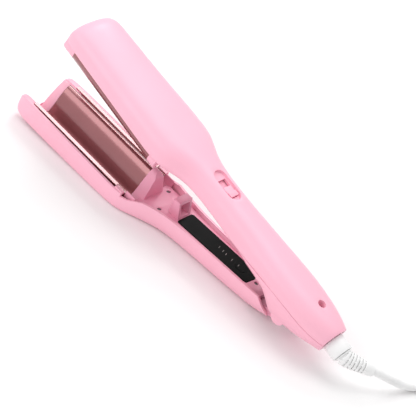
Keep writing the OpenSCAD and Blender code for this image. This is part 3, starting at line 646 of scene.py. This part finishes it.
class WAVER_OT_shells(bpy.types.Operator):
    """Finishes of the moulded shells, covers and frames"""
    bl_idname = "waver.shells"
    bl_label = "Shells"

    def execute(self, context):
        finish = context.scene.waver_finish
        outer = satin_plastic("Outer plastic", tuple(finish.shell), tuple(finish.shell_shade))
        inner = satin_plastic("Cover plastic", tuple(finish.inner), toned(finish.inner, 0.96),
                              roughness=0.42)
        dress(outer, "main_top_shell", "rear_cover", "lower_arm_shell", "upper_jaw_frame", "swivel_bush",
              "lock_slider", edge=0.35)
        dress(inner, "main_inner_cover", "lower_inner_cover", "lock_loop", "hinge_knuckle", edge=0.3)
        self.flap(outer)
        return {"FINISHED"}

    def flap(self, material):
        """Dust flap under the slot, ahead of the lock slider and moving with it."""
        bm = bmesh.new()
        flap = bmesh.ops.create_cube(bm, size=1)["verts"]
        bmesh.ops.scale(bm, vec=[size * MM for size in FLAP_SIZE], verts=flap)
        bmesh.ops.translate(bm, vec=[place * MM for place in FLAP_PLACE], verts=flap)
        bmesh.ops.bevel(bm, geom=bm.edges[:], offset=FLAP_EDGE * MM, affect="EDGES", segments=2,
                        profile=0.5, material=-1)
        bmesh.ops.transform(bm, matrix=SWING, verts=bm.verts)
        crisp(piece("slider_flap", bm, "lock_slide", material), ADDED_CREASE)


class WAVER_OT_plates(bpy.types.Operator):
    """Finishes of the wave plates, heaters and their insulation"""
    bl_idname = "waver.plates"
    bl_label = "Wave plates"

    def execute(self, context):
        finish = context.scene.waver_finish
        coat = coated_metal("Rose coating", tuple(finish.plate), tuple(finish.plate_dark))
        block = plain_metal("Heater metal", linear((205, 205, 208)), roughness=0.45)
        sheet = flaky_sheet("Mica sheet", linear((206, 188, 146)), linear((170, 148, 104)))
        dress(coat, "upper_wave_plate", "lower_wave_plate", crease=20)
        dress(block, "upper_heaters", "lower_heater")
        dress(sheet, "upper_insulation", "lower_insulation")
        return {"FINISHED"}


class WAVER_OT_panel(bpy.types.Operator):
    """Control panel, button and the small marks beside it"""
    bl_idname = "waver.panel"
    bl_label = "Control panel"

    def execute(self, context):
        panel = context.scene.waver_finish.panel
        black = gloss_plastic("Panel plastic", tuple(panel), toned(panel, 1.3))
        key = gloss_plastic("Button plastic", toned(panel, 1.25), toned(panel, 1.5), roughness=0.35)
        ink = gloss_plastic("Mark ink", linear((150, 150, 147)), linear((128, 128, 126)))
        dress(black, "panel_lens")
        dress(key, "power_button")
        for name, body, carrier, places in MARKS:
            self.marks(name, body, carrier, places, ink)
        return {"FINISHED"}

    def marks(self, name, body, carrier, places, ink):
        """Slanted bars on top of the node that carries them."""
        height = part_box(carrier)[1].z + BAR_LIFT * MM
        bm = bmesh.new()
        for x, y in places:
            bar = bmesh.ops.create_grid(bm, x_segments=1, y_segments=1, size=0.5)["verts"]
            bmesh.ops.scale(bm, vec=(BAR_SIZE[0] * MM, BAR_SIZE[1] * MM, 1), verts=bar)
            bmesh.ops.rotate(bm, matrix=Matrix.Rotation(math.radians(BAR_TURN), 3, "Z"), verts=bar)
            bmesh.ops.translate(bm, vec=((x - CENTRE_X) * MM, y * MM, height), verts=bar)
        piece(name, bm, body, ink, smooth=False)


class WAVER_OT_hardware(bpy.types.Operator):
    """Finishes of the metal, wires, boards and cord fittings"""
    bl_idname = "waver.hardware"
    bl_label = "Hardware"

    def execute(self, context):
        white = context.scene.waver_finish.cord
        steel = plain_metal("Steel", linear((196, 197, 200)))
        dark = plain_metal("Dark steel", linear((92, 88, 88)), roughness=0.4)
        fitting = satin_plastic("White plastic", tuple(white), toned(white, 0.95), roughness=0.4)
        black = satin_plastic("Black plastic", linear((34, 34, 34)), linear((28, 28, 28)), roughness=0.5)
        wire = soft_rubber("Wire sheath", linear((200, 68, 60)), linear((180, 58, 50)))
        board = circuit_board("Board", linear((40, 106, 66)), linear((90, 140, 84)))
        dress(steel, "hinge_pin", "return_spring", "lock_detent", "lock_bolt", "thermal_fuse", "plug_pins")
        dress(dark, "handle_screw", "main_cover_screws", "arm_cover_screws")
        dress(fitting, "hinge_bushes", "swivel_collar", "plug_body", edge=0.4)
        dress(black, "cord_clamp", "cord_tie", "thermistor")
        dress(wire, "main_wires", "arm_wires")
        dress(board, "power_board", "control_board")
        return {"FINISHED"}


class WAVER_PT_panel(bpy.types.Panel):
    """Lists the steps that finish the hair waver"""
    bl_idname = "WAVER_PT_panel"
    bl_label = "Hair Waver"
    bl_space_type = "VIEW_3D"
    bl_region_type = "UI"
    bl_category = "Hair Waver"

    def draw(self, context):
        for group in (context.scene.waver_finish, context.scene.waver_cord, context.scene.waver_stage):
            box = self.layout.box()
            for key in group.__annotations__:
                box.prop(group, key)
        for step in STEPS:
            self.layout.operator(step.bl_idname)


STEPS = (WAVER_OT_stage, WAVER_OT_cord, WAVER_OT_shells, WAVER_OT_plates, WAVER_OT_panel, WAVER_OT_hardware)
GROUPS = {"waver_finish": WaverFinish, "waver_cord": WaverCord, "waver_stage": WaverStage}


def register():
    for cls in (*GROUPS.values(), *STEPS, WAVER_PT_panel):
        bpy.utils.register_class(cls)
    for key, cls in GROUPS.items():
        setattr(bpy.types.Scene, key, bpy.props.PointerProperty(type=cls))


def unregister():
    for key in GROUPS:
        delattr(bpy.types.Scene, key)
    for cls in reversed((*GROUPS.values(), *STEPS, WAVER_PT_panel)):
        bpy.utils.unregister_class(cls)


def main():
    register()
    bpy.ops.waver.stage()
    bpy.ops.waver.cord()
    bpy.ops.waver.shells()
    bpy.ops.waver.plates()
    bpy.ops.waver.panel()
    bpy.ops.waver.hardware()


if __name__ == "__main__":
    main()
